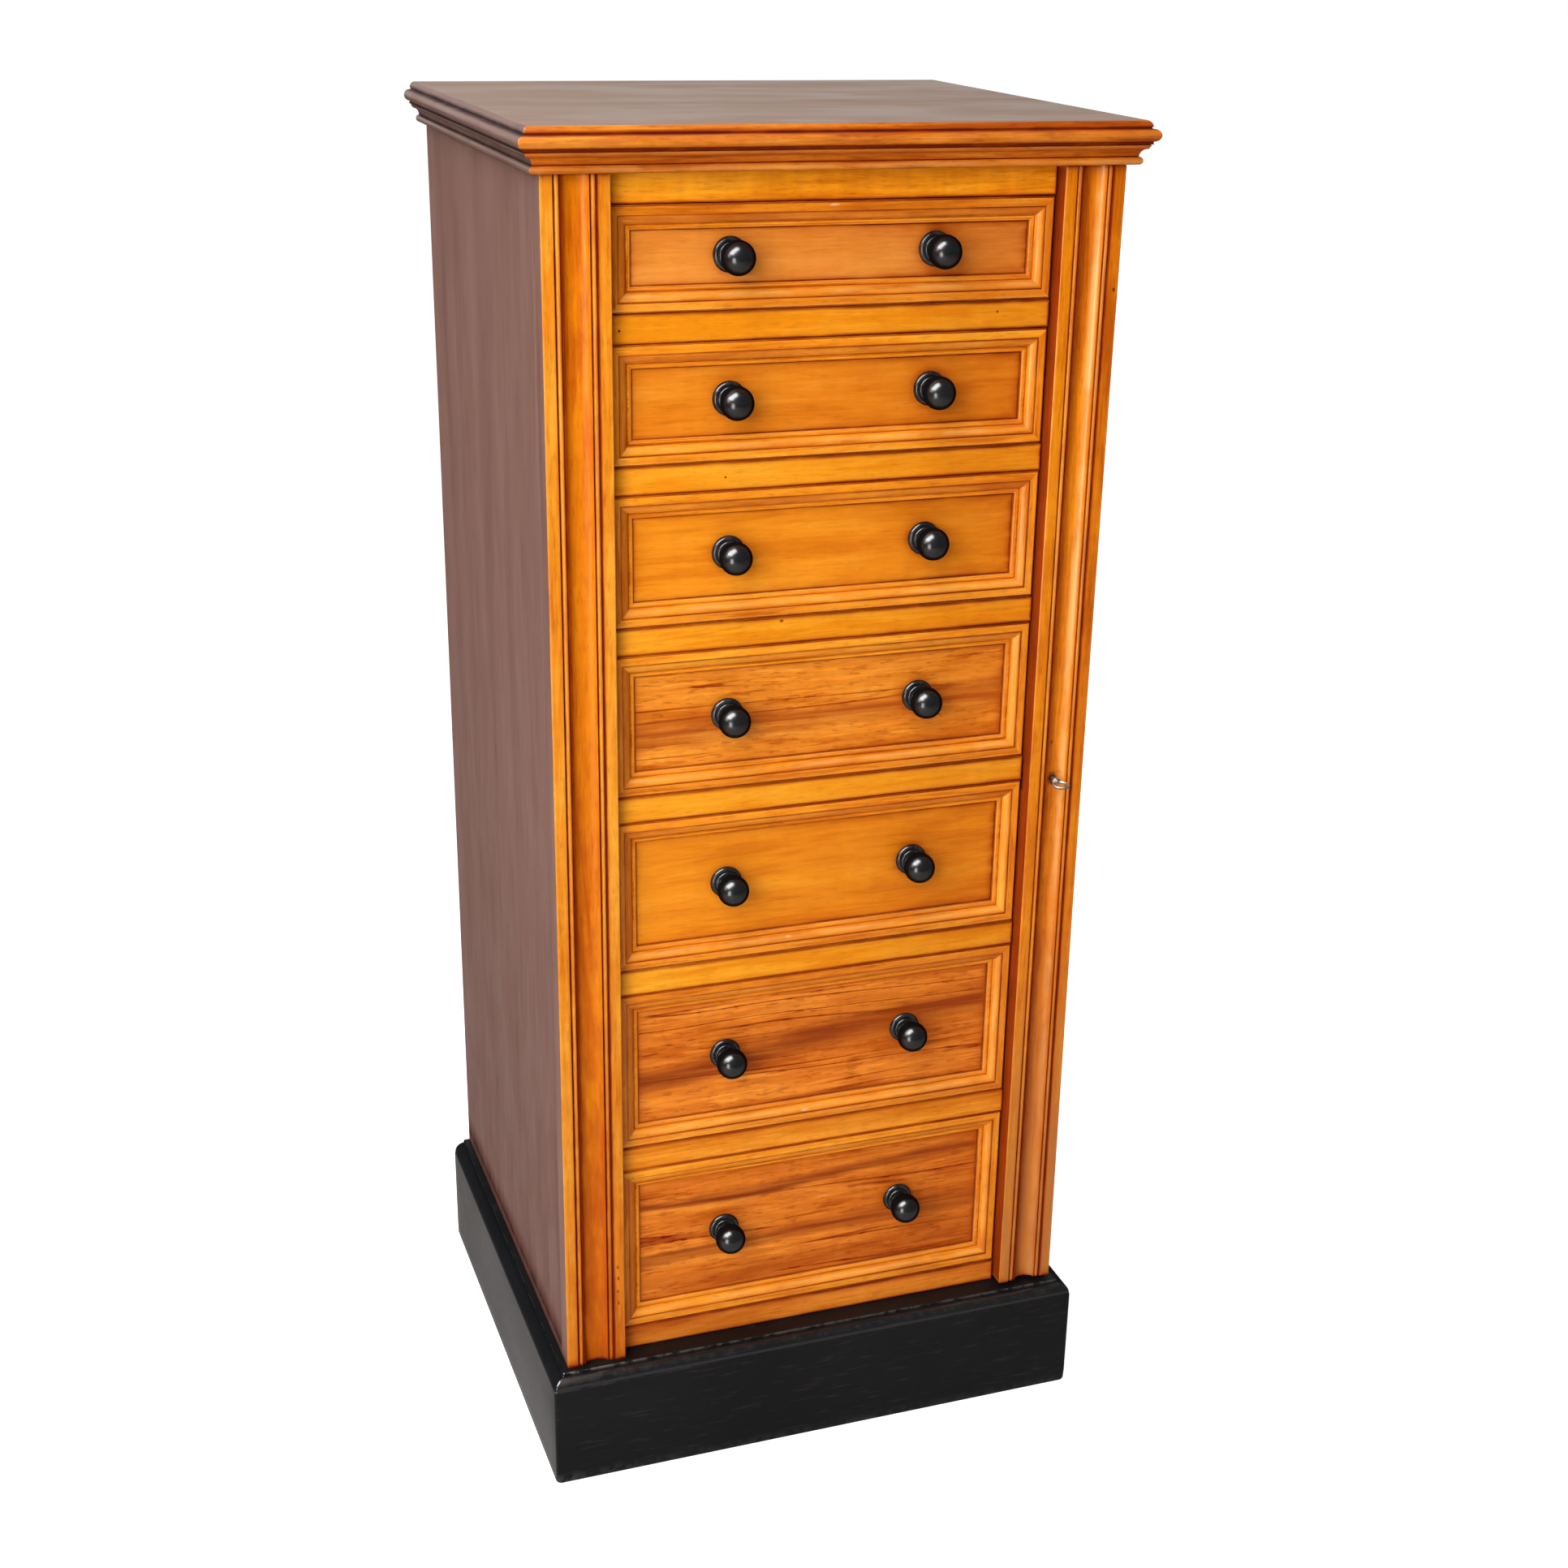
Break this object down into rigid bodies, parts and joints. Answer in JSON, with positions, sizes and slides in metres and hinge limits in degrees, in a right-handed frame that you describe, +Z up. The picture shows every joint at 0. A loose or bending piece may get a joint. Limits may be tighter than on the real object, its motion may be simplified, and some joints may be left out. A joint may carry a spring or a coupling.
{
  "type": "chest of drawers",
  "caption": "Tall narrow chest of graduated drawers with turned knobs, a moulded pilaster, a hinged locking stile with lock and key, a moulded top and a black plinth.",
  "frame": {"origin": "on the floor, under the middle of the overall box", "axes": "+X to the right as seen from the front, +Y to the back, +Z up"},
  "size_m": [0.53, 0.4636, 1.217],
  "materials": {
    "front_wood": "golden mahogany, polished",
    "side_wood": "dark mahogany, polished",
    "lining_wood": "plain pine, unpolished",
    "black_wood": "ebonised and polished",
    "brass": "aged",
    "key_steel": "worn bright"
  },
  "bodies": {
    "carcass": {"plinth": "black_wood", "bottom_board": "front_wood", "side_left": "side_wood", "side_right": "side_wood", "back_panel": "lining_wood", "top_board": "side_wood", "cornice_moulding": "front_wood", "pilaster_left": "front_wood", "frieze_rail": "front_wood", "drawer_rail_1": "front_wood", "drawer_rail_2": "front_wood", "drawer_rail_3": "front_wood", "drawer_rail_4": "front_wood", "drawer_rail_5": "front_wood", "drawer_rail_6": "front_wood", "runner_frame_left": "lining_wood", "runner_frame_right": "lining_wood", "hinge_lower_fixed_leaf": "brass", "hinge_upper_fixed_leaf": "brass"},
    "drawer_1": {"drawer_1_front": "front_wood", "drawer_1_box": "lining_wood", "drawer_1_bottom": "lining_wood", "drawer_1_knob_left": "black_wood", "drawer_1_knob_right": "black_wood"},
    "drawer_2": {"drawer_2_front": "front_wood", "drawer_2_box": "lining_wood", "drawer_2_bottom": "lining_wood", "drawer_2_knob_left": "black_wood", "drawer_2_knob_right": "black_wood"},
    "drawer_3": {"drawer_3_front": "front_wood", "drawer_3_box": "lining_wood", "drawer_3_bottom": "lining_wood", "drawer_3_knob_left": "black_wood", "drawer_3_knob_right": "black_wood"},
    "drawer_4": {"drawer_4_front": "front_wood", "drawer_4_box": "lining_wood", "drawer_4_bottom": "lining_wood", "drawer_4_knob_left": "black_wood", "drawer_4_knob_right": "black_wood"},
    "drawer_5": {"drawer_5_front": "front_wood", "drawer_5_box": "lining_wood", "drawer_5_bottom": "lining_wood", "drawer_5_knob_left": "black_wood", "drawer_5_knob_right": "black_wood"},
    "drawer_6": {"drawer_6_front": "front_wood", "drawer_6_box": "lining_wood", "drawer_6_bottom": "lining_wood", "drawer_6_knob_left": "black_wood", "drawer_6_knob_right": "black_wood"},
    "drawer_7": {"drawer_7_front": "front_wood", "drawer_7_box": "lining_wood", "drawer_7_bottom": "lining_wood", "drawer_7_knob_left": "black_wood", "drawer_7_knob_right": "black_wood"},
    "locking_stile": {"locking_stile": "front_wood", "lock_case": "brass", "hinge_lower_moving_leaf": "brass", "hinge_upper_moving_leaf": "brass"},
    "lock_bolt": {"lock_bolt": "brass"},
    "key": {"key": "key_steel"}
  },
  "joints": [
    {"name": "drawer_1_slide", "type": "slide", "parent": "carcass", "child": "drawer_1", "axis": [0, -1, 0], "range_m": [0, 0.32]},
    {"name": "drawer_2_slide", "type": "slide", "parent": "carcass", "child": "drawer_2", "axis": [0, -1, 0], "range_m": [0, 0.32]},
    {"name": "drawer_3_slide", "type": "slide", "parent": "carcass", "child": "drawer_3", "axis": [0, -1, 0], "range_m": [0, 0.32]},
    {"name": "drawer_4_slide", "type": "slide", "parent": "carcass", "child": "drawer_4", "axis": [0, -1, 0], "range_m": [0, 0.32]},
    {"name": "drawer_5_slide", "type": "slide", "parent": "carcass", "child": "drawer_5", "axis": [0, -1, 0], "range_m": [0, 0.32]},
    {"name": "drawer_6_slide", "type": "slide", "parent": "carcass", "child": "drawer_6", "axis": [0, -1, 0], "range_m": [0, 0.32]},
    {"name": "drawer_7_slide", "type": "slide", "parent": "carcass", "child": "drawer_7", "axis": [0, -1, 0], "range_m": [0, 0.32]},
    {"name": "stile_hinge", "type": "hinge", "parent": "carcass", "child": "locking_stile", "pos_m": [0.2485, -0.18909, 0.64965], "axis": [0, 0, 1], "range_deg": [0, 180]},
    {"name": "key_turn", "type": "hinge", "parent": "locking_stile", "child": "key", "pos_m": [0.2164, -0.19624, 0.64655], "axis": [0, -1, 0], "range_deg": [0, 180]},
    {"name": "bolt_throw", "type": "slide", "parent": "locking_stile", "child": "lock_bolt", "axis": [-1, 0, 0], "range_m": [0, 0.006]}
  ],
  "couplings": [
    {"joint": "key_turn", "follows": "bolt_throw", "rad_per_m": 523.6}
  ]
}
